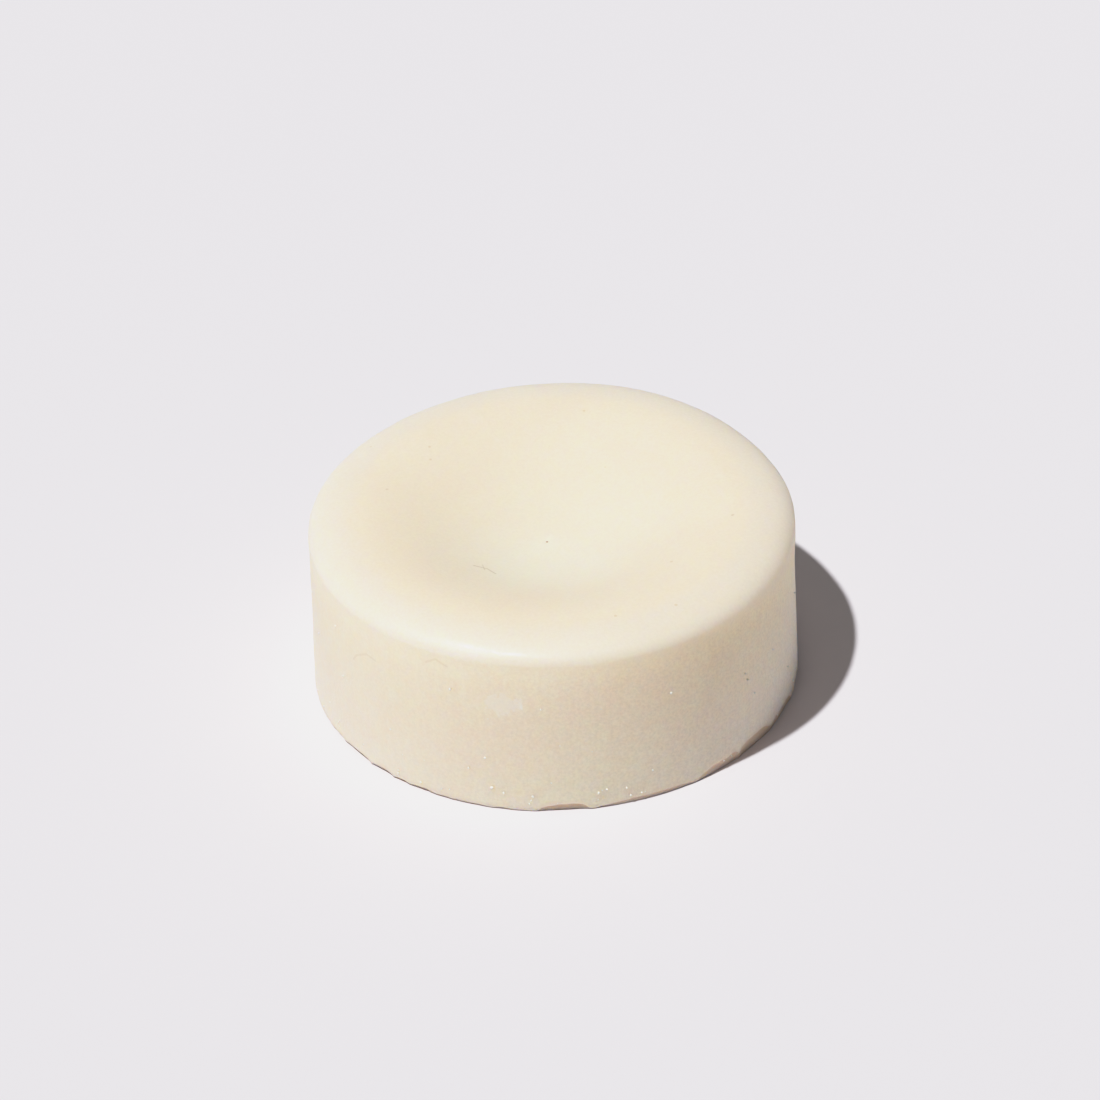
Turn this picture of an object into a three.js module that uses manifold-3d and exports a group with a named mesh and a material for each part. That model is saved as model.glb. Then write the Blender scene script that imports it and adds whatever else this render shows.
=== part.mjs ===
// Shaving soap puck: one disc of hard soap, cast dish-side down and trimmed flat at the mould's mouth.
// Millimetres, +Z up. The origin is the middle of the flat base, which rests on z = 0; the dish faces up.

import * as THREE from 'three';
import { mergeVertices } from 'three/addons/utils/BufferGeometryUtils.js';
import Module from 'manifold-3d';

const wasm = await Module();
wasm.setup();

// Driving dimensions
const BASE_DIAMETER = 65.0;
const HEIGHT = 25.4;             // base to the highest point of the rim
const DRAFT = 0.4;               // how much smaller the radius is at the top of the wall
const SHOULDER_WIDTH = 7.1;      // the soft round-over between the rim's crest and the wall
const SHOULDER_HEIGHT = 2.75;
const SHOULDER_POWER = 2.18;     // superellipse exponent: 2 is an ellipse, higher is fuller
const DISH_DEPTH = 4.5;          // below the rim's crest, where the brush is loaded
const DISH_POWER = 1.92;         // how gently the dish flows up into the crest
const DISH_OFFSET = { x: -1.4, y: -2.8 };   // the lowest point lies a little off the axis
const ARRIS = 0.4;               // blunted lower edge, left by trimming
const LOBES = [                  // the outline is slightly out of round
  { count: 3, size: 0.2, towards: -166 },
  { count: 4, size: 0.09, towards: -22 },
];

// Breaks in the trimmed lower edge: direction and size of each of the larger missing flakes
const CHIPS = [
  { azimuth: -155, width: 3.6, height: 0.7 },
  { azimuth: -142, width: 3.2, height: 0.6 },
  { azimuth: -91, width: 9.8, height: 1.2 },
  { azimuth: -51, width: 7.4, height: 1.6 },
  { azimuth: -37, width: 7.6, height: 2.0 },
  { azimuth: -25, width: 8.0, height: 1.6 },
  { azimuth: 64, width: 6.2, height: 1.2 },
  { azimuth: 104, width: 4.4, height: 0.9 },
  { azimuth: 148, width: 5.0, height: 1.1 },
];
const CHIP_DEPTH = 0.45;         // how far the shallowest flake reaches in under the edge
const CHIP_SLOPE = 0.2;          // and how much further for each millimetre of its height

// Mesh fineness
const SEGMENTS = 72;
const DISH_STEPS = 12;
const SHOULDER_STEPS = 8;
const WALL_STEPS = 3;
const MERGE_DISTANCE = 1e-4;

const baseRadius = BASE_DIAMETER / 2;
const wallTopRadius = baseRadius - DRAFT;
const wallTopHeight = HEIGHT - SHOULDER_HEIGHT;
const crestRadius = wallTopRadius - SHOULDER_WIDTH;

const soap = new THREE.MeshStandardMaterial({ color: 0xefe4cc, roughness: 0.5, metalness: 0 });

// Height of the dish at a share of the crest's radius: 0 is its middle, 1 is the crest.
function dishHeight(share) {
  return HEIGHT - DISH_DEPTH * (1 - share ** 2) ** DISH_POWER;
}

// Half section as (radius, height) points, from the middle of the base out, up the wall and into the dish.
function section() {
  const points = [new THREE.Vector2(0, 0), new THREE.Vector2(baseRadius - ARRIS, 0)];
  for (let i = 0; i < WALL_STEPS; i += 1) {
    const share = i / WALL_STEPS;
    const height = THREE.MathUtils.lerp(ARRIS, wallTopHeight, share);
    points.push(new THREE.Vector2(baseRadius - DRAFT * share, height));
  }
  for (let i = 0; i < SHOULDER_STEPS; i += 1) {
    const turn = (Math.PI / 2) * (1 - i / SHOULDER_STEPS);
    const across = Math.sin(turn) ** (2 / SHOULDER_POWER);
    const up = Math.cos(turn) ** (2 / SHOULDER_POWER);
    points.push(new THREE.Vector2(
      crestRadius + SHOULDER_WIDTH * across,
      wallTopHeight + SHOULDER_HEIGHT * up,
    ));
  }
  for (let i = DISH_STEPS; i > 0; i -= 1) {
    const share = i / DISH_STEPS;
    points.push(new THREE.Vector2(crestRadius * share, dishHeight(share)));
  }
  points.push(new THREE.Vector2(0, dishHeight(0)));
  return points;
}

// How far the outline stands out in a direction, as a factor on the radius.
function outline(direction) {
  let factor = 1;
  for (const lobe of LOBES) {
    const away = direction - THREE.MathUtils.degToRad(lobe.towards);
    factor += (lobe.size / baseRadius) * Math.cos(lobe.count * away);
  }
  return factor;
}

// Moves the turned body's points onto the cast shape: the lobed outline and the off-centre dish.
function settle(geometry) {
  const position = geometry.getAttribute('position');
  const point = new THREE.Vector3();
  for (let i = 0; i < position.count; i += 1) {
    point.fromBufferAttribute(position, i);
    const radius = Math.hypot(point.x, point.y);
    const factor = outline(Math.atan2(point.y, point.x));
    const inDish = point.z > HEIGHT / 2 && radius < crestRadius;
    const shift = inDish ? THREE.MathUtils.smoothstep(1 - radius / crestRadius, 0, 1) : 0;
    point.x = point.x * factor + DISH_OFFSET.x * shift;
    point.y = point.y * factor + DISH_OFFSET.y * shift;
    position.setXYZ(i, point.x, point.y, point.z);
  }
  return geometry;
}

// A geometry with position only, its shared points merged and its zero-area triangles dropped.
function welded(geometry) {
  geometry.deleteAttribute('normal');
  geometry.deleteAttribute('uv');
  const merged = mergeVertices(geometry, MERGE_DISTANCE);
  const index = merged.getIndex().array;
  const kept = [];
  for (let i = 0; i < index.length; i += 3) {
    const [a, b, c] = [index[i], index[i + 1], index[i + 2]];
    if (a !== b && b !== c && c !== a) {
      kept.push(a, b, c);
    }
  }
  merged.setIndex(kept);
  return merged;
}

function toSolid(geometry) {
  return new wasm.Manifold(new wasm.Mesh({
    numProp: 3,
    vertProperties: new Float32Array(geometry.getAttribute('position').array),
    triVerts: new Uint32Array(geometry.getIndex().array),
  }));
}

function toGeometry(solid) {
  const mesh = solid.getMesh();
  const geometry = new THREE.BufferGeometry();
  geometry.setAttribute('position', new THREE.BufferAttribute(mesh.vertProperties, 3));
  geometry.setIndex(new THREE.BufferAttribute(mesh.triVerts, 1));
  geometry.computeVertexNormals();
  return geometry;
}

// The flake that is missing at one break: a squashed ball centred on the lower edge.
function chipTool({ azimuth, width, height }) {
  const tool = welded(new THREE.IcosahedronGeometry(1, 1));
  const direction = THREE.MathUtils.degToRad(azimuth);
  tool.scale(CHIP_DEPTH + CHIP_SLOPE * height, width / 2, height);
  tool.rotateZ(direction);
  const reach = baseRadius * outline(direction);
  tool.translate(reach * Math.cos(direction), reach * Math.sin(direction), 0);
  return toSolid(tool);
}

function soapPuck() {
  const turned = new THREE.LatheGeometry(section(), SEGMENTS);
  turned.rotateX(Math.PI / 2);
  let solid = toSolid(settle(welded(turned)));
  for (const chip of CHIPS) {
    solid = solid.subtract(chipTool(chip));
  }
  const mesh = new THREE.Mesh(toGeometry(solid), soap);
  mesh.name = 'soap_puck';
  return mesh;
}

const puck = new THREE.Group();
puck.add(soapPuck());

export default puck;
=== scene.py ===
"""A shaving soap puck on a pale studio floor: its fine surface, the soap, the light and the camera.

Lengths are in millimetres until a mesh, a light or the camera is made, and MM turns them into metres.
Directions round the puck are in degrees: 0 is +X, and -90 is the side that faces the camera.
"""

import math
import random

import bmesh
import bpy
import numpy as np
from mathutils import Matrix, Vector, noise


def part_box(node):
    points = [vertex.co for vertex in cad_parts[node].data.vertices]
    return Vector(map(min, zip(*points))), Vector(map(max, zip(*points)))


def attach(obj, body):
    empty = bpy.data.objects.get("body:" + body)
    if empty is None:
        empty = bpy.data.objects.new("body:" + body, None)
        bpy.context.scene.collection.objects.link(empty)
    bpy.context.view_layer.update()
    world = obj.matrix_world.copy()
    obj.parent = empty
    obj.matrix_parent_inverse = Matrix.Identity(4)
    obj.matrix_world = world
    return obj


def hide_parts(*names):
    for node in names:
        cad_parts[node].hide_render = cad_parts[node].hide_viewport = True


MM = 0.001
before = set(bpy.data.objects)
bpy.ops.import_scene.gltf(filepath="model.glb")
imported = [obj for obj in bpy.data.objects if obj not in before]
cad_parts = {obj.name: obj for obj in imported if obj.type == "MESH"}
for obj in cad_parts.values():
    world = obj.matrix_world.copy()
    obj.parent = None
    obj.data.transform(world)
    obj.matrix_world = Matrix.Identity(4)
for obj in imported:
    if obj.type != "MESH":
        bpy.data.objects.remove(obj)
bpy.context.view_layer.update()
node_low, node_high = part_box("soap_puck")

# ---------------------------------------------------------------- the cast shape, as in the CAD part
LOBES = ((3, 0.2, -166), (4, 0.09, -22))   # how far the outline is out of round: count, size, direction
DRAFT = 0.4                                 # the wall's top is this much smaller in radius than its foot
SHOULDER_WIDTH = 7.1
SHOULDER_HEIGHT = 2.75
SHOULDER_POWER = 2.18
DISH_DEPTH = 4.5
DISH_POWER = 1.92
DISH_OFFSET = (-1.4, -2.8)

# ---------------------------------------------------------------- what is broken, stuck on and worn
# Layers of noise, here and below, are given by the strength, size and shift of each.

# Breaks in the trimmed lower edge: direction, width and height of each missing flake, how far it reaches
# in under the edge, and how far its highest point lies towards one end of it, from -1 to 1
BREAKS = (
    (-90.0, 6.8, 1.2, 0.40, 0.3),
    (-70, 14.0, 0.75, 0.16, 0.3),
    (-50.8, 7.4, 1.6, 0.32, 0.6),
    (-38, 7.6, 2.0, 0.36, -0.4),
    (-26, 8.0, 1.5, 0.30, 0.3),
    (-12, 5.0, 1.0, 0.22, 0.0),
    (-112.5, 7.0, 0.35, 0.16, 0.2),
    (-119.5, 3.2, 0.40, 0.22, 0.6),
    (-125.3, 3.4, 0.60, 0.34, 0.7),
    (-130.6, 2.6, 0.58, 0.34, 0.5),
    (-136.6, 4.2, 0.72, 0.40, 0.3),
    (-145.9, 6.2, 0.75, 0.42, 0.36),
    (-154.7, 3.6, 0.62, 0.36, 0.6),
    (64, 6.2, 1.2, 0.35, 0.3),
    (104, 4.4, 0.9, 0.30, -0.2),
    (148, 5.0, 1.1, 0.35, -0.4),
)
BREAK_FLATNESS = 2.4          # how flat the top of each break's arch is
BREAK_UNEVEN = 0.10
BREAK_HOLLOW = 0.7            # below 1 the hollow is boxy, with its back nearly upright
BREAK_GLOW = 0.45           # how strongly the broken edge's painted warm glow shows on the wall just above it
BREAK_FADE = 0.7              # and how far up it shows
BREAK_LIP = 0.02              # from its highest line down to this far below it, a break counts as fringe
BREAKS_END = 4.0              # no break comes near this height
EDGE_HEIGHT = 0.20            # the rest of the edge is only blunted
EDGE_DEPTH = 0.08
EDGE_UNEVEN = 0.3
EDGE_LAYERS = ((1.0, 1.6, 0.0), (0.6, 0.7, 9.0))

# Small breaks all round: how many, their range of widths and heights, their depth as a share of the height
SMALL_BREAKS = 80
SMALL_WIDTHS = (1.0, 3.6)
SMALL_HEIGHTS = (0.22, 0.50)
SMALL_DEPTH = 0.4
SMALL_LEAN = 0.5

# Crumbs that can be seen on the wall in front: direction and height of each
FRONT_CRUMBS = (
    (-96.9, 2.5), (-81.8, 2.6), (-106.4, 3.4), (-103.6, 2.8), (-107.7, 8.1),
    (-111.8, 6.0), (-75.2, 2.6), (-74.3, 1.3), (-63.4, 15.8), (-115.6, 18.0),
)
FRONT_CRUMB_SIZES = (0.32, 0.48)
MORE_CRUMBS = 90
CRUMB_SIZES = (0.16, 0.34)
CRUMB_HEIGHTS = (1.3, 18.3)
CRUMB_UNEVEN = 0.45
CRUMB_PROUD = 0.18            # a crumb's middle is this share of its size outside the wall

# A thin flake has come off the wall here: direction, height, width and height of the scar
SCAR = (-103.0, 16.9, 5.2, 2.8)
SCAR_DEPTH = 0.08
SCAR_LAYERS = ((0.45, 1.3, 23.0),)
SCAR_FADE = 0.25

# Broad wear of the shoulder in front and of the left wall, and the fuller shoulder on the right:
# direction, height, reach along and up the wall, and how far it stands out
BROAD_SHAPES = (
    (-112, 21.6, 34.0, 3.4, -0.38),
    (178, 13.0, 16.0, 8.0, -0.18),
    (6, 21.6, 11.0, 3.0, 0.36),
)

# Finer unevenness: of the wall, of the wall near its foot, of all the rest, and of the shoulder
WALL_LAYERS = ((0.06, 13.0, 0.0), (0.030, 4.0, 3.0), (0.016, 1.1, 5.0), (0.012, (1.4, 1.4, 9.0), 7.0))
FOOT_LAYERS = ((0.02, 1.1, 5.0),)
TOP_LAYERS = ((0.05, 16.0, 11.0), (0.004, 1.5, 13.0))
SHOULDER_LAYERS = ((0.04, 4.5, 17.0), (0.016, 1.6, 19.0))
FOOT_HEIGHT = 6.0

# The raised line cast on the front shoulder: direction of its middle, distance out from the crest, slant,
# reach across and along it, and how it wanders
CAST_LINE = (-106, 5.7, 0.045, 0.2, 4.6)
CAST_LINE_LAYERS = ((0.25, 3.0, 29.0),)
# The one beside the scar: where it starts, right of the scar's middle, how far its own middle is below the
# scar's, and its reach across and along it
SCAR_LINE = (1.2, 0.3, 0.09, 1.3)
LINE_COVER = 0.6              # about how much of each line is there
LINE_GAPS = ((1.8, 1.0, 31.0),)
LINE_RELIEF = 0.08

PIT = (-0.62, -1.48)          # a pit near the middle of the dish
PIT_SIZE = 0.3
PIT_DEPTH = 0.12
PIT_SURROUNDINGS = 3.0

PAINTED_SHEEN_BAND = (-104, 21.8, 34.0, 1.7)   # painted sheen below the front shoulder: direction, height, reach along and up

# ---------------------------------------------------------------- mesh fineness
GRID = 156                    # squares along each side of the dish's mesh
AROUND = 4 * GRID             # points on each ring below the dish
SHOULDER_RINGS = 24
WALL_RINGS = 56
WALL_SPACING = 1.3            # above 1, the wall's rings are closer together near its foot
BREAK_RINGS = 7
BASE_RINGS = 5
BASE_RIM = 4.0                # width of the base's finely meshed margin
BASE_SHRINK = 0.72            # inside it, each ring is this much smaller than the one before
BASE_FAN = 30                 # a ring with no more points than this is filled with a fan
FLAT = 1e-6                   # a point lower than this is on the base
LOWEST = 0.02                 # and no other point comes lower than this
SHARP_ANGLE = 50


def noise_field(points, size, shift=0.0):
    """Smooth noise from -1 to 1 at each point, with features about size mm across, or one size per axis."""
    scaled = points / np.asarray(size) + shift
    return np.array([noise.noise(Vector(p)) for p in scaled])


def layered(points, layers):
    """The sum of layers of noise, given by the strength, size and shift of each."""
    return sum(strength * noise_field(points, size, shift) for strength, size, shift in layers)


def smooth(values):
    """0 below 0, 1 above 1, and an even curve between."""
    t = np.clip(values, 0, 1)
    return t * t * (3 - 2 * t)


def within(limits, share):
    """The number at a share of the way from the first limit to the second."""
    low, high = limits
    return low + (high - low) * share


def outline(angle, radius):
    """The outline's factor on the radius at each angle, in radians."""
    factor = np.ones_like(angle)
    for count, size, towards in LOBES:
        factor = factor + size / radius * np.cos(count * (angle - math.radians(towards)))
    return factor


def mean_radius():
    """The radius of the base, from the CAD part's box, whose sides hold the lobes too."""
    angle = np.linspace(0, 2 * math.pi, 721)
    across = (node_high - node_low) / MM
    guess = (across.x + across.y) / 4
    lobed = outline(angle, guess)
    span = np.ptp(lobed * np.cos(angle)) + np.ptp(lobed * np.sin(angle))
    return (across.x + across.y) / span


HEIGHT = (node_high.z - node_low.z) / MM
BASE_RADIUS = mean_radius()
WALL_TOP = HEIGHT - SHOULDER_HEIGHT
WALL_TOP_RADIUS = BASE_RADIUS - DRAFT
CREST_RADIUS = WALL_TOP_RADIUS - SHOULDER_WIDTH
WALL_INSIDE = BASE_RADIUS - 4.0           # a point nearer to the axis than this isn't on the wall
WALL_BLEND_TOP = WALL_TOP + 1.0           # the shoulder's surface turns into the wall's from this height
WALL_BLEND = 3.5                          # down over this much
SHOULDER_BLEND = 3.0                      # and the dish's into the shoulder's over this much radius


def settle(radius, angle, height):
    """Points of the cast body from its turned coordinates: the lobed outline, and the dish off centre."""
    inside = np.clip(1 - radius / CREST_RADIUS, 0, 1) * (height > HEIGHT / 2)
    shift = smooth(inside)
    reach = radius * outline(angle, BASE_RADIUS)
    x = reach * np.cos(angle) + DISH_OFFSET[0] * shift
    y = reach * np.sin(angle) + DISH_OFFSET[1] * shift
    return np.stack([x, y, height + 0 * reach], axis=-1)


def wall_radius(height):
    """The leaning wall's radius at a height."""
    return BASE_RADIUS - DRAFT * height / WALL_TOP


def ring_angles(count):
    """The angles of the points on a ring, which starts at a corner of the dish's grid."""
    return -math.pi / 4 + 2 * math.pi * np.arange(count) / count


# ---------------------------------------------------------------- the broken lower edge
def small_breaks():
    """Small flakes missing all round the edge, the same ones on each run."""
    draw = random.Random(7)
    found = []
    for _ in range(SMALL_BREAKS):
        size = draw.random() ** 2
        width = within(SMALL_WIDTHS, size)
        tall = within(SMALL_HEIGHTS, size)
        towards = draw.uniform(-180, 180)
        lean = draw.uniform(-SMALL_LEAN, SMALL_LEAN)
        found.append((towards, width, tall, SMALL_DEPTH * tall, lean))
    return found


def break_sizes(angle):
    """Height on the wall and depth under the base of what has broken away, at each angle round the edge."""
    ring = np.stack([np.cos(angle), np.sin(angle), 0 * angle], axis=-1) * BASE_RADIUS
    rough = layered(ring, EDGE_LAYERS)
    height = EDGE_HEIGHT * (1 + EDGE_UNEVEN * rough)
    depth = EDGE_DEPTH * (1 + EDGE_UNEVEN * rough)
    for towards, width, tall, deep, lean in (*BREAKS, *small_breaks()):
        away = angle - math.radians(towards)
        away = (away + math.pi) % (2 * math.pi) - math.pi
        along = away * BASE_RADIUS / (width / 2) - lean
        along = np.clip(np.where(along < 0, -along / (1 + lean), along / (1 - lean)), 0, 1)
        share = np.sqrt(1 - along ** BREAK_FLATNESS)
        height = np.maximum(height, tall * share * (1 + BREAK_UNEVEN * rough))
        depth = np.maximum(depth, deep * share)
    return height, depth


# ---------------------------------------------------------------- the puck's mesh
def dish_points():
    """A square grid pressed into a disc that ends at the rim's crest, and the order of its outer points."""
    a, b = np.meshgrid(np.linspace(-1, 1, GRID + 1), np.linspace(-1, 1, GRID + 1), indexing="ij")
    wide = np.abs(a) >= np.abs(b)
    with np.errstate(divide="ignore", invalid="ignore"):
        share = np.where(wide, a, b)
        angle = np.where(wide, math.pi / 4 * b / a, math.pi / 2 - math.pi / 4 * a / b)
    angle = np.where(share == 0, 0.0, angle)
    angle = np.where(share < 0, angle + math.pi, angle)
    share = np.abs(share)
    height = HEIGHT - DISH_DEPTH * (1 - share ** 2) ** DISH_POWER
    index = np.arange((GRID + 1) ** 2).reshape(GRID + 1, GRID + 1)
    rim = np.concatenate([index[-1, :-1], index[:0:-1, -1], index[0, :0:-1], index[:-1, 0]])
    return settle(share * CREST_RADIUS, angle, height).reshape(-1, 3), index, rim


def rings():
    """The rings below the crest: down the shoulder and the wall, round the broken edge, in under the base."""
    angle = ring_angles(AROUND)
    tall, deep = break_sizes(angle)
    made = []
    for turn in np.linspace(0, math.pi / 2, SHOULDER_RINGS + 1)[1:]:
        radius = CREST_RADIUS + SHOULDER_WIDTH * math.sin(turn) ** (2 / SHOULDER_POWER)
        height = WALL_TOP + SHOULDER_HEIGHT * max(math.cos(turn), 0) ** (2 / SHOULDER_POWER)
        made.append(settle(radius + 0 * angle, angle, height))
    for share in np.linspace(0, 1, WALL_RINGS + 1)[1:]:
        down = 1 - (1 - share) ** WALL_SPACING
        height = WALL_TOP + (tall - WALL_TOP) * down
        made.append(settle(wall_radius(height), angle, height))
    for turn in np.linspace(0, math.pi / 2, BREAK_RINGS + 1)[1:]:
        step_in = math.sin(turn) ** BREAK_HOLLOW
        height = tall * max(math.cos(turn), 0) ** BREAK_HOLLOW
        made.append(settle(wall_radius(height) - deep * step_in, angle, height))
    for share in np.linspace(0, 1, BASE_RINGS + 1)[1:]:
        radius = (BASE_RADIUS - deep) * (1 - share) + (BASE_RADIUS - BASE_RIM) * share
        made.append(settle(radius, angle, 0.0))
    return made


def base_middle(start):
    """The rest of the flat base: rings with half as many points each time, then a fan."""
    points, faces = [], []
    outer = list(range(start - AROUND, start))
    radius = BASE_RADIUS - BASE_RIM
    while len(outer) % 2 == 0 and len(outer) > BASE_FAN:
        radius *= BASE_SHRINK
        count = len(outer) // 2
        angle = ring_angles(count)
        points.append(settle(radius + 0 * angle, angle, 0.0))
        inner = list(range(start, start + count))
        start += count
        for j in range(count):
            k = (j + 1) % count
            faces.append((outer[2 * j], inner[j], inner[k], outer[2 * k], outer[2 * j + 1]))
        outer = inner
    points.append(np.zeros((1, 3)))
    for j, first in enumerate(outer):
        faces.append((first, start, outer[(j + 1) % len(outer)]))
    return np.concatenate(points), faces


def puck_mesh():
    """The puck as one closed mesh, in millimetres."""
    top, index, rim = dish_points()
    corners = [index[:-1, :-1], index[1:, :-1], index[1:, 1:], index[:-1, 1:]]
    quads = [np.stack(corners, axis=-1).reshape(-1, 4)]
    upper, points, start = rim, [top], len(top)
    for ring in rings():
        lower = np.arange(start, start + AROUND)
        quads.append(np.stack([upper, lower, np.roll(lower, -1), np.roll(upper, -1)], axis=-1))
        points.append(ring)
        upper, start = lower, start + AROUND
    middle, faces = base_middle(start)
    points.append(middle)
    return np.concatenate(points), np.concatenate(quads).tolist() + faces


# ---------------------------------------------------------------- unevenness of the real surface
def around(points, direction):
    """How far round the wall each point is from a direction, in millimetres."""
    away = np.arctan2(points[:, 1], points[:, 0]) - math.radians(direction)
    away = (away + math.pi) % (2 * math.pi) - math.pi
    return away * BASE_RADIUS


def from_axis(points):
    return np.hypot(points[:, 0], points[:, 1])


def hump(x, y=0.0):
    """1 at the middle, falling smoothly to 0 within about two units of it."""
    return np.exp(-x ** 2 - y ** 2)


def surface_parts(points):
    """How far each point counts as wall (below the shoulder) and as shoulder, from 0 to 1."""
    height, radius = points[:, 2], from_axis(points)
    wall = smooth((WALL_BLEND_TOP - height) / WALL_BLEND) * (radius > WALL_INSIDE)
    shoulder = smooth((radius - CREST_RADIUS) / SHOULDER_BLEND) * (1 - wall) * (height > HEIGHT / 2)
    return wall, shoulder


def scar_distance(points):
    """How far each point is from the middle of the scar, where its ragged edge is at about 1."""
    direction, height, width, tall = SCAR
    across = around(points, direction) / (width / 2)
    up = (points[:, 2] - height) / (tall / 2)
    return np.hypot(across, up) + layered(points, SCAR_LAYERS)


def fine_lines(points):
    """1 along the two thin raised lines, which are broken here and there. It raises them, and carries their
    painted highlight.
    """
    height, radius = points[:, 2], from_axis(points)
    direction, out, slant, width, length = CAST_LINE
    along = around(points, direction)
    off = radius - CREST_RADIUS - out - slant * along + layered(points, CAST_LINE_LAYERS)
    cast = hump(off / width, along / length) * (height > WALL_TOP)
    start, lower, width, length = SCAR_LINE
    beside = hump((scar_distance(points) - 1.0) / width) * smooth(around(points, SCAR[0]) - start)
    beside *= hump((height - SCAR[1] + lower) / length) * (radius > WALL_INSIDE)
    return (cast + beside) * np.clip(LINE_COVER + layered(points, LINE_GAPS), 0, 1)


def unevenness(points):
    """How far the real surface stands out from the plain cast shape, in millimetres."""
    height, radius = points[:, 2], from_axis(points)
    wall, shoulder = surface_parts(points)
    foot = smooth((FOOT_HEIGHT - height) / FOOT_HEIGHT) * wall
    out = wall * layered(points, WALL_LAYERS)
    out += foot * wall * layered(points, FOOT_LAYERS)
    out += (1 - wall) * layered(points, TOP_LAYERS)
    out += shoulder * layered(points, SHOULDER_LAYERS)

    side = smooth((radius - CREST_RADIUS) / SHOULDER_WIDTH)
    for direction, middle, along, up, amount in BROAD_SHAPES:
        out += amount * side * hump(around(points, direction) / along, (height - middle) / up)

    out -= wall * SCAR_DEPTH * smooth((1 - scar_distance(points)) / SCAR_FADE)
    out += LINE_RELIEF * fine_lines(points)
    pit = hump((points[:, 0] - PIT[0]) / PIT_SIZE, (points[:, 1] - PIT[1]) / PIT_SIZE)
    out -= PIT_DEPTH * pit * (radius < PIT_SURROUNDINGS)
    return out


def on_wall(direction, height, proud=0.0):
    """The point at a direction and a height on the uneven wall, or this far outside it."""
    angle = np.array([math.radians(direction)])
    foot = settle(wall_radius(height), angle, height)
    out = np.array([math.cos(angle[0]), math.sin(angle[0]), 0])
    return foot[0] + out * (unevenness(foot)[0] + proud)


# ---------------------------------------------------------------- crumbs on the wall
def crumb_places():
    """Where each crumb sticks to the wall, most of them low down: direction, height, diameter."""
    draw = random.Random(11)
    places = [(direction, height, draw.uniform(*FRONT_CRUMB_SIZES)) for direction, height in FRONT_CRUMBS]
    for _ in range(MORE_CRUMBS):
        height = within(CRUMB_HEIGHTS, draw.random() ** 3)
        places.append((draw.uniform(-180, 180), height, draw.uniform(*CRUMB_SIZES)))
    return places


def crumbs():
    """The crumbs as one set of points and faces: rough grains, each sunk a third into the wall."""
    ball = bmesh.new()
    bmesh.ops.create_icosphere(ball, subdivisions=1, radius=0.5)
    grain = np.array([v.co[:] for v in ball.verts])
    grain_faces = np.array([[v.index for v in f.verts] for f in ball.faces])
    ball.free()
    points, faces = [], []
    for number, (direction, height, size) in enumerate(crumb_places()):
        rough = 1 + CRUMB_UNEVEN * noise_field(grain, 0.5, 3.0 * number)[:, None]
        points.append(on_wall(direction, height, CRUMB_PROUD * size) + grain * rough * size)
        faces.append(grain_faces + number * len(grain))
    return np.concatenate(points), np.concatenate(faces).tolist()


# ---------------------------------------------------------------- the puck, with what its material needs
def dish_share(points):
    """0 at the rim's crest and outside it, 1 at the bottom of the dish."""
    inside = (from_axis(points) < CREST_RADIUS) & (points[:, 2] > HEIGHT / 2)
    return np.clip((HEIGHT - points[:, 2]) / DISH_DEPTH, 0, 1) * inside


def break_shade_share(points):
    """1 on the broken edge and the base, where painted warm shade goes, fading out over the wall just above
    it as a painted glow.
    """
    broken = np.zeros(len(points))
    low = np.flatnonzero(points[:, 2] < BREAKS_END)
    near = points[low]
    tall, _ = break_sizes(np.arctan2(near[:, 1], near[:, 0]))
    above = near[:, 2] - tall
    fringe = BREAK_GLOW * np.clip(1 - above / BREAK_FADE, 0, 1)
    broken[low] = np.where(above < -BREAK_LIP, 1, fringe)
    return broken


def painted_sheen_band(points):
    """1 in the middle of the painted sheen, a paler band below the shoulder in front, fading out around it.
    """
    direction, height, along, up = PAINTED_SHEEN_BAND
    return hump(around(points, direction) / along, (points[:, 2] - height) / up)


def pushed_out(points, faces):
    """The points of the plain cast shape, each moved along its normal by the surface's unevenness."""
    mesh = bpy.data.meshes.new("plain_puck")
    mesh.from_pydata((points * MM).tolist(), [], faces)
    mesh.update()
    normals = np.empty(len(points) * 3, np.float32)
    mesh.vertex_normals.foreach_get("vector", normals)
    bpy.data.meshes.remove(mesh)
    moved = points + normals.reshape(-1, 3) * unevenness(points)[:, None]
    moved[:, 2] = np.where(points[:, 2] < FLAT, 0.0, np.maximum(moved[:, 2], LOWEST))
    return moved


def make_puck():
    points, faces = puck_mesh()
    grains, grain_faces = crumbs()
    wall, shoulder = surface_parts(points)
    # each attribute's value at the puck's own points, and at the crumbs
    parts = {
        "dish": (dish_share(points), 0),
        "wall": (wall, 1),
        "shoulder": (shoulder, 0),
        # painted warm shade on the broken edge, and painted glow on the wall just above it
        "broken": (break_shade_share(points), 0),
        "scar": (np.clip(scar_distance(points), 0, 3), 3),
        "crumb": (np.zeros(len(points)), 1),
        "painted_sheen": (painted_sheen_band(points), 0),
        "fine_line": (fine_lines(points), 0),
    }
    everything = np.concatenate([pushed_out(points, faces), grains])
    everything = np.clip(everything * MM, np.array(node_low), np.array(node_high))
    faces = faces + [[corner + len(points) for corner in face] for face in grain_faces]
    mesh = bpy.data.meshes.new("soap_puck_body")
    mesh.from_pydata(everything.tolist(), [], faces)
    for name, (values, on_crumbs) in parts.items():
        attribute = mesh.attributes.new(name, "FLOAT", "POINT")
        values = np.append(values, np.full(len(grains), on_crumbs))
        attribute.data.foreach_set("value", values.astype(np.float32))
    mesh.shade_smooth()
    mesh.set_sharp_from_angle(angle=math.radians(SHARP_ANGLE))
    mesh.update()
    made = bpy.data.objects.new("soap_puck_body", mesh)
    bpy.context.scene.collection.objects.link(made)
    return made


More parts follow.
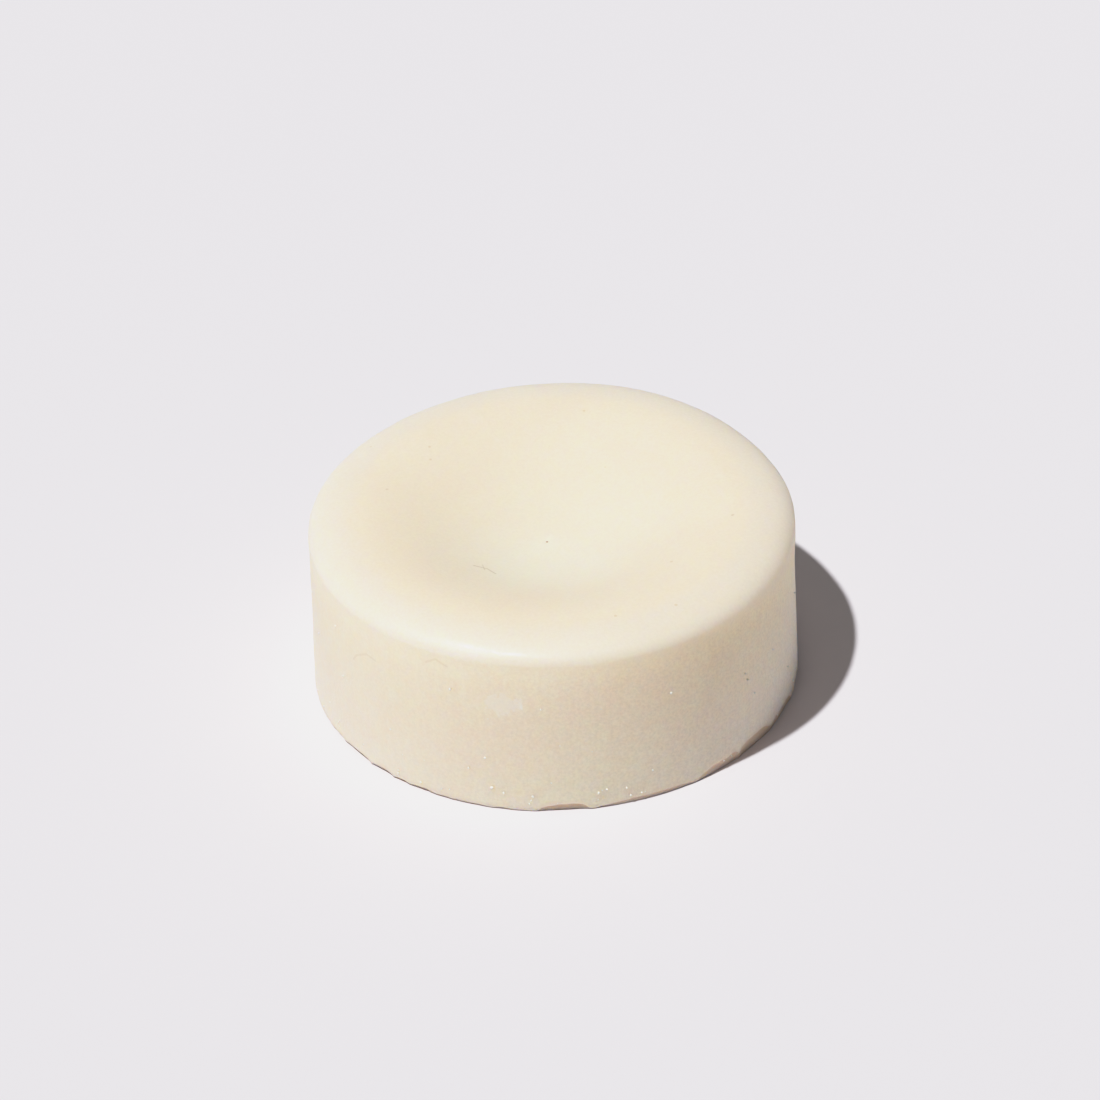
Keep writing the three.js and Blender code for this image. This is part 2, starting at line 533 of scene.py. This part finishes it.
# ---------------------------------------------------------------- materials
class Tree:
    """A material's node tree, with short calls for the nodes that these materials use."""

    def __init__(self, name):
        self.material = bpy.data.materials.new(name)
        self.material.use_nodes = True
        self.nodes = self.material.node_tree.nodes
        self.links = self.material.node_tree.links
        self.shader = self.nodes["Principled BSDF"]

    def feed(self, socket, value):
        """Links another node's output to a socket, or sets the socket's own value."""
        if isinstance(value, bpy.types.NodeSocket):
            self.links.new(value, socket)
        else:
            socket.default_value = value

    def node(self, kind, inputs=None, **settings):
        made = self.nodes.new(kind)
        for name, value in settings.items():
            setattr(made, name, value)
        for name, value in (inputs or {}).items():
            self.feed(made.inputs[name], value)
        return made

    def set(self, **values):
        """Sets the shader's own sockets, by names with _ for a space."""
        for name, value in values.items():
            self.feed(self.shader.inputs[name.replace("_", " ")], value)

    def attribute(self, name):
        return self.node("ShaderNodeAttribute", attribute_name=name).outputs["Fac"]

    def math(self, operation, first, second=0.5, third=0.0, clamp=False):
        inputs = {0: first, 1: second, 2: third}
        return self.node("ShaderNodeMath", inputs, operation=operation, use_clamp=clamp).outputs[0]

    def vector(self, operation, first, second, output="Vector"):
        inputs = {0: first, 1: second}
        return self.node("ShaderNodeVectorMath", inputs, operation=operation).outputs[output]

    def along(self, where, direction):
        """How far a place is along a direction, as a number in millimetres."""
        return self.vector("DOT_PRODUCT", where, Vector(direction) / MM, output="Value")

    def remap(self, value, low, high, to_low=0.0, to_high=1.0, kind="LINEAR"):
        inputs = {"Value": value, "From Min": low, "From Max": high, "To Min": to_low, "To Max": to_high}
        return self.node("ShaderNodeMapRange", inputs, interpolation_type=kind).outputs["Result"]

    def between(self, share, first, second):
        """The number first where share is 0, and second where it is 1."""
        return self.node("ShaderNodeMix", {0: share, 2: first, 3: second}).outputs[0]

    def mix(self, share, first, second, blend="MIX"):
        """The same for colours. A colour is a socket or its red, green and blue."""
        made = self.node("ShaderNodeMix", data_type="RGBA", blend_type=blend)
        for socket, value in zip((made.inputs[0], made.inputs[6], made.inputs[7]), (share, first, second)):
            self.feed(socket, (*value, 1) if isinstance(value, tuple) else value)
        return made.outputs[2]

    def tint(self, share, colour, factor):
        """A colour times another one, or times a number, where share is 1."""
        return self.mix(share, colour, factor, "MULTIPLY")

    def noise(self, where, size, detail=3.0, roughness=0.5):
        """Noise from 0 to 1 whose features are about size mm across."""
        inputs = {"Vector": where, "Scale": 1 / (size * MM), "Detail": detail, "Roughness": roughness}
        return self.node("ShaderNodeTexNoise", inputs).outputs["Fac"]

    def pattern(self, noise_value, low, high, spread=0.15):
        """Noise from low to high: what lies within spread of its middle."""
        return self.remap(noise_value, 0.5 - spread, 0.5 + spread, low, high)

    def specks(self, where, spacing, radius, empty):
        """Scattered round specks: 1 inside them, 0 elsewhere. This share of the cells is empty."""
        cells = self.node("ShaderNodeTexVoronoi", {"Vector": where, "Scale": 1 / (spacing * MM)})
        near = self.remap(cells.outputs["Distance"], radius, radius + SPECK_EDGE, 1.0, 0.0)
        chosen = self.node("ShaderNodeSeparateColor", {"Color": cells.outputs["Color"]}).outputs["Red"]
        return self.math("MULTIPLY", near, self.math("GREATER_THAN", chosen, empty))

    def line(self, where, points, width, flat=False):
        """A thin line through points, in mm: 1 along its middle, 0 from half its width out.

        A flat line is seen from above, so that height makes no difference to it.
        """
        nearest = None
        if flat:
            where = self.vector("MULTIPLY", where, (1, 1, 0))
        for first, last in zip(points, points[1:]):
            first, last = Vector(first) * MM, Vector(last) * MM
            along = last - first
            offset = self.vector("SUBTRACT", where, first)
            share = self.vector("DOT_PRODUCT", offset, along / along.length_squared, output="Value")
            share = self.math("ADD", share, 0.0, clamp=True)
            foot = self.node("ShaderNodeVectorMath", {0: along, "Scale": share}, operation="SCALE")
            distance = self.vector("DISTANCE", offset, foot.outputs["Vector"], output="Value")
            nearest = distance if nearest is None else self.math("MINIMUM", nearest, distance)
        return self.remap(nearest, 0.2 * width * MM, 0.5 * width * MM, 1.0, 0.0)


TOP_COLOUR = (0.911, 0.770, 0.605)
WALL_COLOUR = (0.955, 0.805, 0.628)
SPECK_COLOUR = (0.72, 0.56, 0.38)
SCAR_COLOUR = (0.98, 0.88, 0.80)
# Painted warm shade in the breaks and along the lower edge, where light comes only through the soap and off
# the floor
BREAK_SHADE_COLOUR = (0.80, 0.59, 0.43)
# A painted highlight along the thin raised lines
LINE_HIGHLIGHT_COLOUR = (1.0, 0.93, 0.84)
CRUMB_COLOUR = (0.98, 0.93, 0.85)
MARK_COLOUR = (0.55, 0.42, 0.28)
PIT_COLOUR = (0.42, 0.12, 0.08)

# Factors on the colour of one part of the puck
DISH_TINT = (1.058, 1.037, 1.035)
# The shoulder is painted paler and bluer: a painted sheen where light glances off it
SHOULDER_SHEEN_TINT = (0.942, 0.977, 1.03)
LOW_LEFT_TINT = (1.008, 0.982, 1.015)
# Painted light on the shaded right wall: bluish bounce light low down, warm glow through the soap high up
LOW_SHADED_SIDE_TINT = (1.006, 0.985, 1.045)
HIGH_SHADED_SIDE_TINT = (1.004, 1.004, 0.94)
# A painted sheen: the band below the front shoulder is brighter and bluer
PAINTED_SHEEN_TINT = (1.03, 1.055, 1.075)
WARM_TINT = (1.010, 0.990, 0.976)
COOL_TINT = (0.990, 1.008, 1.021)
WARM_AND_COOL_ON_TOP = 0.35        # on the wall both show fully

# Patterns: the size of their features, and their range as factors on the colour. Of the specks: their
# spacing, their radius as a share of it, and the share of empty cells
WARM_AND_COOL_SIZE = 1.3
CLOUD_SIZE = 9.0
CLOUDS = (0.99, 1.01)
STREAK_SIZE = 0.7
STREAK_STRETCH = (1, 1, 0.12)
STREAKS = (0.99, 1.007)
GRAIN_SIZE = 0.40
GRAIN_ON_TOP = 0.035
GRAIN_ON_WALL = (0.03, 0.085)      # it grows from the left to the right
SPECKS = (2.6, 0.07, 0.86)
SPECK_EDGE = 0.03
SPECK_STRENGTH = 0.6
SCAR_STRENGTH = 0.40
SCAR_EDGE = (0.92, 1.08)
SCAR_RAGGED = 0.25
SCAR_RAGGED_SIZE = 0.5
LINE_HIGHLIGHT_STRENGTH = 0.7

TOP_ROUGHNESS = 0.40
SHOULDER_ROUGHNESS = 0.50
WALL_ROUGHNESS = 0.58
TOP_ROUGHNESS_RANGE = 0.05         # either way
WALL_ROUGHNESS_RANGE = 0.06
ROUGHNESS_SIZE = 0.8
CRUMB_ROUGHNESS = 0.25
BUMP_SIZE = 0.35
BUMP_DEPTH = 0.05
BUMP_ON_TOP = 0.25
BUMP_ON_WALL = 1.7

FLOOR_COLOUR = (0.791, 0.763, 0.803)

LIGHT_REACH = (6.5, 5.0, 2.4)      # how far red, green and blue light travel inside the soap
EDGE_REACH = 0.25                  # the share of that reach at the lower edge, where the soap is bruised
EDGE_REACH_END = 5.0               # and the height from which the reach is whole
SOAP_IOR = 1.46

# Fine marks in the dish: the points of each, its width, how strongly it shows, and its colour
DISH_MARKS = (
    (((-10.3, -8.5, 0), (-8.6, -8.9, 0), (-7.5, -10.2, 0)), 0.34, 0.5, MARK_COLOUR),
    (((-9.2, -7.9, 0), (-8.9, -9.4, 0)), 0.26, 0.35, MARK_COLOUR),
    (((23.8, -3.6, 0), (23.9, -3.5, 0)), 0.5, 0.45, MARK_COLOUR),
    (((-21.6, 6.0, 0), (-21.5, 6.1, 0)), 0.45, 0.35, MARK_COLOUR),
    (((*PIT, 0), (PIT[0], PIT[1] + 0.02, 0)), 0.42, 0.9, PIT_COLOUR),
)
# and fine lines on the wall: the direction and height of the points of each
WALL_MARKS = (
    ((-145, 15.7), (-143.5, 16.8), (-140, 18.0), (-137, 17.8)),
    ((-122, 21.0), (-119.4, 21.9), (-116.5, 21.2)),
)
WALL_MARK_WIDTH = 0.42
WALL_MARK_STRENGTH = 0.18


def part_colours(tree, where, wall, shoulder):
    """The soap's colour on each part of the puck, with the slow changes of tint across it, a painted sheen on
    the shoulder and below it in front, and painted light on the shaded right wall.
    """
    height = tree.along(where, (0, 0, 1))
    left = tree.along(where, (-1, 0, 0))
    colour = tree.mix(wall, TOP_COLOUR, WALL_COLOUR)
    colour = tree.tint(tree.attribute("dish"), colour, DISH_TINT)
    # painted sheen on the shoulder
    colour = tree.tint(shoulder, colour, SHOULDER_SHEEN_TINT)
    # painted sheen below the front shoulder
    colour = tree.tint(tree.attribute("painted_sheen"), colour, PAINTED_SHEEN_TINT)
    cool = tree.pattern(tree.noise(where, WARM_AND_COOL_SIZE, 3, 0.6), 0, 1)
    shown = tree.remap(wall, 0, 1, WARM_AND_COOL_ON_TOP, 1.0)
    colour = tree.tint(shown, colour, tree.mix(cool, WARM_TINT, COOL_TINT))
    low_left = tree.math("MULTIPLY", tree.remap(height, 8, 15, 1, 0), tree.remap(left, -5, 25))
    colour = tree.tint(low_left, colour, LOW_LEFT_TINT)
    # painted bounce light and glow on the shaded right wall
    right = tree.math("MULTIPLY", tree.remap(left, -5, -28), wall)
    shaded_side_tint = tree.mix(tree.remap(height, 5, 17), LOW_SHADED_SIDE_TINT, HIGH_SHADED_SIDE_TINT)
    return tree.tint(right, colour, shaded_side_tint)


def add_patterns(tree, where, wall, colour):
    """Clouds and grain everywhere, drag marks down the wall, and specks on the top."""
    clouds = tree.pattern(tree.noise(where, CLOUD_SIZE), *CLOUDS)
    on_wall_grain = tree.remap(tree.along(where, (1, -0.3, 0)), -20, 25, *GRAIN_ON_WALL)
    strength = tree.between(wall, GRAIN_ON_TOP, on_wall_grain)
    grain = tree.pattern(tree.noise(where, GRAIN_SIZE, 4, 0.65), -1.0, 1.0, spread=0.2)
    grain = tree.math("MULTIPLY_ADD", grain, strength, third=1.0)
    stretched = tree.vector("MULTIPLY", where, STREAK_STRETCH)
    streaks = tree.between(wall, 1.0, tree.pattern(tree.noise(stretched, STREAK_SIZE, 2), *STREAKS))
    for factor in (clouds, grain, streaks):
        colour = tree.tint(1.0, colour, factor)
    on_top = tree.remap(wall, 0, 0.5, SPECK_STRENGTH, 0.0)
    return tree.mix(tree.math("MULTIPLY", tree.specks(where, *SPECKS), on_top), colour, SPECK_COLOUR)


def add_marks(tree, where, wall, crumb, line, colour):
    """The scar, a painted highlight along the raised lines, painted warm shade and glow at the broken edge,
    the crumbs and the fine dark marks.
    """
    ragged = tree.pattern(tree.noise(where, SCAR_RAGGED_SIZE), -SCAR_RAGGED, SCAR_RAGGED, spread=0.2)
    scar = tree.math("ADD", tree.attribute("scar"), ragged)
    colour = tree.mix(tree.remap(scar, *SCAR_EDGE, SCAR_STRENGTH, 0.0), colour, SCAR_COLOUR)
    # painted highlight along the raised lines
    colour = tree.mix(tree.math("MULTIPLY", line, LINE_HIGHLIGHT_STRENGTH), colour, LINE_HIGHLIGHT_COLOUR)
    # painted warm shade in the breaks and along the lower edge, and a painted glow just above them
    colour = tree.mix(tree.attribute("broken"), colour, BREAK_SHADE_COLOUR)
    colour = tree.mix(crumb, colour, CRUMB_COLOUR)
    for places in WALL_MARKS:
        points = [on_wall(direction, height) for direction, height in places]
        mark = tree.line(where, points, WALL_MARK_WIDTH)
        colour = tree.mix(tree.math("MULTIPLY", mark, WALL_MARK_STRENGTH), colour, MARK_COLOUR)
    in_dish = tree.math("LESS_THAN", wall, 0.5)
    for points, width, strength, mark_colour in DISH_MARKS:
        mark = tree.math("MULTIPLY", tree.line(where, points, width, flat=True), in_dish)
        colour = tree.mix(tree.math("MULTIPLY", mark, strength), colour, mark_colour)
    return colour


def soap_roughness(tree, where, wall, shoulder, smooth_spots):
    noise_value = tree.noise(where, ROUGHNESS_SIZE)
    found = []
    for middle, either_way in ((TOP_ROUGHNESS, TOP_ROUGHNESS_RANGE), (WALL_ROUGHNESS, WALL_ROUGHNESS_RANGE)):
        found.append(tree.pattern(noise_value, middle - either_way, middle + either_way, spread=0.2))
    top = tree.math("MULTIPLY_ADD", shoulder, SHOULDER_ROUGHNESS - TOP_ROUGHNESS, third=found[0])
    return tree.between(smooth_spots, tree.between(wall, top, found[1]), CRUMB_ROUGHNESS)


def soap_material():
    tree = Tree("soap")
    where = tree.node("ShaderNodeTexCoord").outputs["Object"]
    wall = tree.attribute("wall")
    shoulder = tree.attribute("shoulder")
    crumb = tree.attribute("crumb")
    line = tree.attribute("fine_line")
    colour = part_colours(tree, where, wall, shoulder)
    colour = add_patterns(tree, where, wall, colour)
    colour = add_marks(tree, where, wall, crumb, line, colour)
    smooth_spots = tree.math("MAXIMUM", crumb, line)
    relief_depth = tree.between(wall, BUMP_ON_TOP, BUMP_ON_WALL)
    relief = tree.math("MULTIPLY", tree.noise(where, BUMP_SIZE, 3, 0.6), relief_depth)
    bump = tree.node("ShaderNodeBump", {"Strength": 1.0, "Distance": BUMP_DEPTH * MM, "Height": relief})
    height = tree.along(where, (0, 0, 1))
    tree.set(
        Base_Color=colour,
        Roughness=soap_roughness(tree, where, wall, shoulder, smooth_spots),
        Normal=bump.outputs["Normal"],
        IOR=SOAP_IOR,
        Specular_IOR_Level=0.5,
        Subsurface_Weight=tree.math("SUBTRACT", 1.0, crumb),
        Subsurface_Radius=LIGHT_REACH,
        Subsurface_Scale=tree.remap(height, 0.0, EDGE_REACH_END, EDGE_REACH * MM, MM, "SMOOTHSTEP"),
    )
    return tree.material


def floor_material():
    tree = Tree("studio_floor")
    tree.set(Base_Color=(*FLOOR_COLOUR, 1), Roughness=0.9, Specular_IOR_Level=0.0)
    return tree.material


# ---------------------------------------------------------------- the studio
FLOOR_HALF = 4000.0
FLOOR_BELOW = 0.01            # keeps the floor's face off the puck's base
SUN_AZIMUTH = 31.8            # the shadow falls this way
SUN_ELEVATION = 66.4
SUN_STRENGTH = 3.29
SUN_ANGLE = 2.1
SKY_LIGHT = 0.147

CAMERA_DISTANCE = 662.8
CAMERA_ELEVATION = 35.65
CAMERA_ROLL = -2.5
CAMERA_AIM = (-0.28, 0.0, 18.47)
FOCAL_SHARE = 5000 / 1100     # focal length over the frame's width
SENSOR = 36.0

# Brightness in the scene, and on film: highlights are held back, as a camera holds them
FILM_CURVE = ((0.0, 0.0), (0.3, 0.3), (0.6, 0.6), (0.8, 0.766), (1.0, 0.865), (1.4, 0.95))
COMBINED = 3                  # of the view's curves, the one for all three colours


def make_floor():
    mesh = bpy.data.meshes.new("floor")
    half = FLOOR_HALF * MM
    corners = [(-half, -half, 0), (half, -half, 0), (half, half, 0), (-half, half, 0)]
    mesh.from_pydata(corners, [], [(0, 1, 2, 3)])
    mesh.materials.append(floor_material())
    floor = bpy.data.objects.new("floor", mesh)
    bpy.context.scene.collection.objects.link(floor)
    floor.location.z = -FLOOR_BELOW * MM


def make_light():
    azimuth, elevation = math.radians(SUN_AZIMUTH), math.radians(SUN_ELEVATION)
    towards = Vector((
        -math.cos(azimuth) * math.cos(elevation),
        -math.sin(azimuth) * math.cos(elevation),
        math.sin(elevation),
    ))
    data = bpy.data.lights.new("key", "SUN")
    data.energy = SUN_STRENGTH
    data.angle = math.radians(SUN_ANGLE)
    key = bpy.data.objects.new("key", data)
    bpy.context.scene.collection.objects.link(key)
    key.rotation_euler = towards.to_track_quat("Z", "Y").to_euler()
    world = bpy.data.worlds.new("studio")
    world.use_nodes = True
    world.node_tree.nodes["Background"].inputs["Color"].default_value = (1, 1, 1, 1)
    world.node_tree.nodes["Background"].inputs["Strength"].default_value = SKY_LIGHT
    bpy.context.scene.world = world


def set_film_response():
    view = bpy.context.scene.view_settings
    view.view_transform = "Standard"
    view.use_curve_mapping = True
    view.curve_mapping.use_clip = False
    curve = view.curve_mapping.curves[COMBINED]
    curve.points[-1].location = FILM_CURVE[-1]
    for bright, shown in FILM_CURVE[1:-1]:
        curve.points.new(bright, shown)
    view.curve_mapping.update()


def make_camera():
    elevation, roll = math.radians(CAMERA_ELEVATION), math.radians(CAMERA_ROLL)
    back = Vector((0, -math.cos(elevation), math.sin(elevation)))
    level = Vector((1, 0, 0))
    upright = back.cross(level)
    right = level * math.cos(roll) + upright * math.sin(roll)
    up = upright * math.cos(roll) - level * math.sin(roll)
    data = bpy.data.cameras.new("camera")
    data.sensor_width = SENSOR
    data.lens = SENSOR * FOCAL_SHARE
    data.clip_start = 10 * MM
    camera = bpy.data.objects.new("camera", data)
    bpy.context.scene.collection.objects.link(camera)
    place = (Vector(CAMERA_AIM) + back * CAMERA_DISTANCE) * MM
    turn = Matrix((right, up, back)).transposed()
    camera.matrix_world = Matrix.Translation(place) @ turn.to_4x4()
    bpy.context.scene.camera = camera


make_camera()
make_floor()
make_light()
set_film_response()

puck = make_puck()
puck.data.materials.append(soap_material())
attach(puck, "root")
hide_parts("soap_puck")
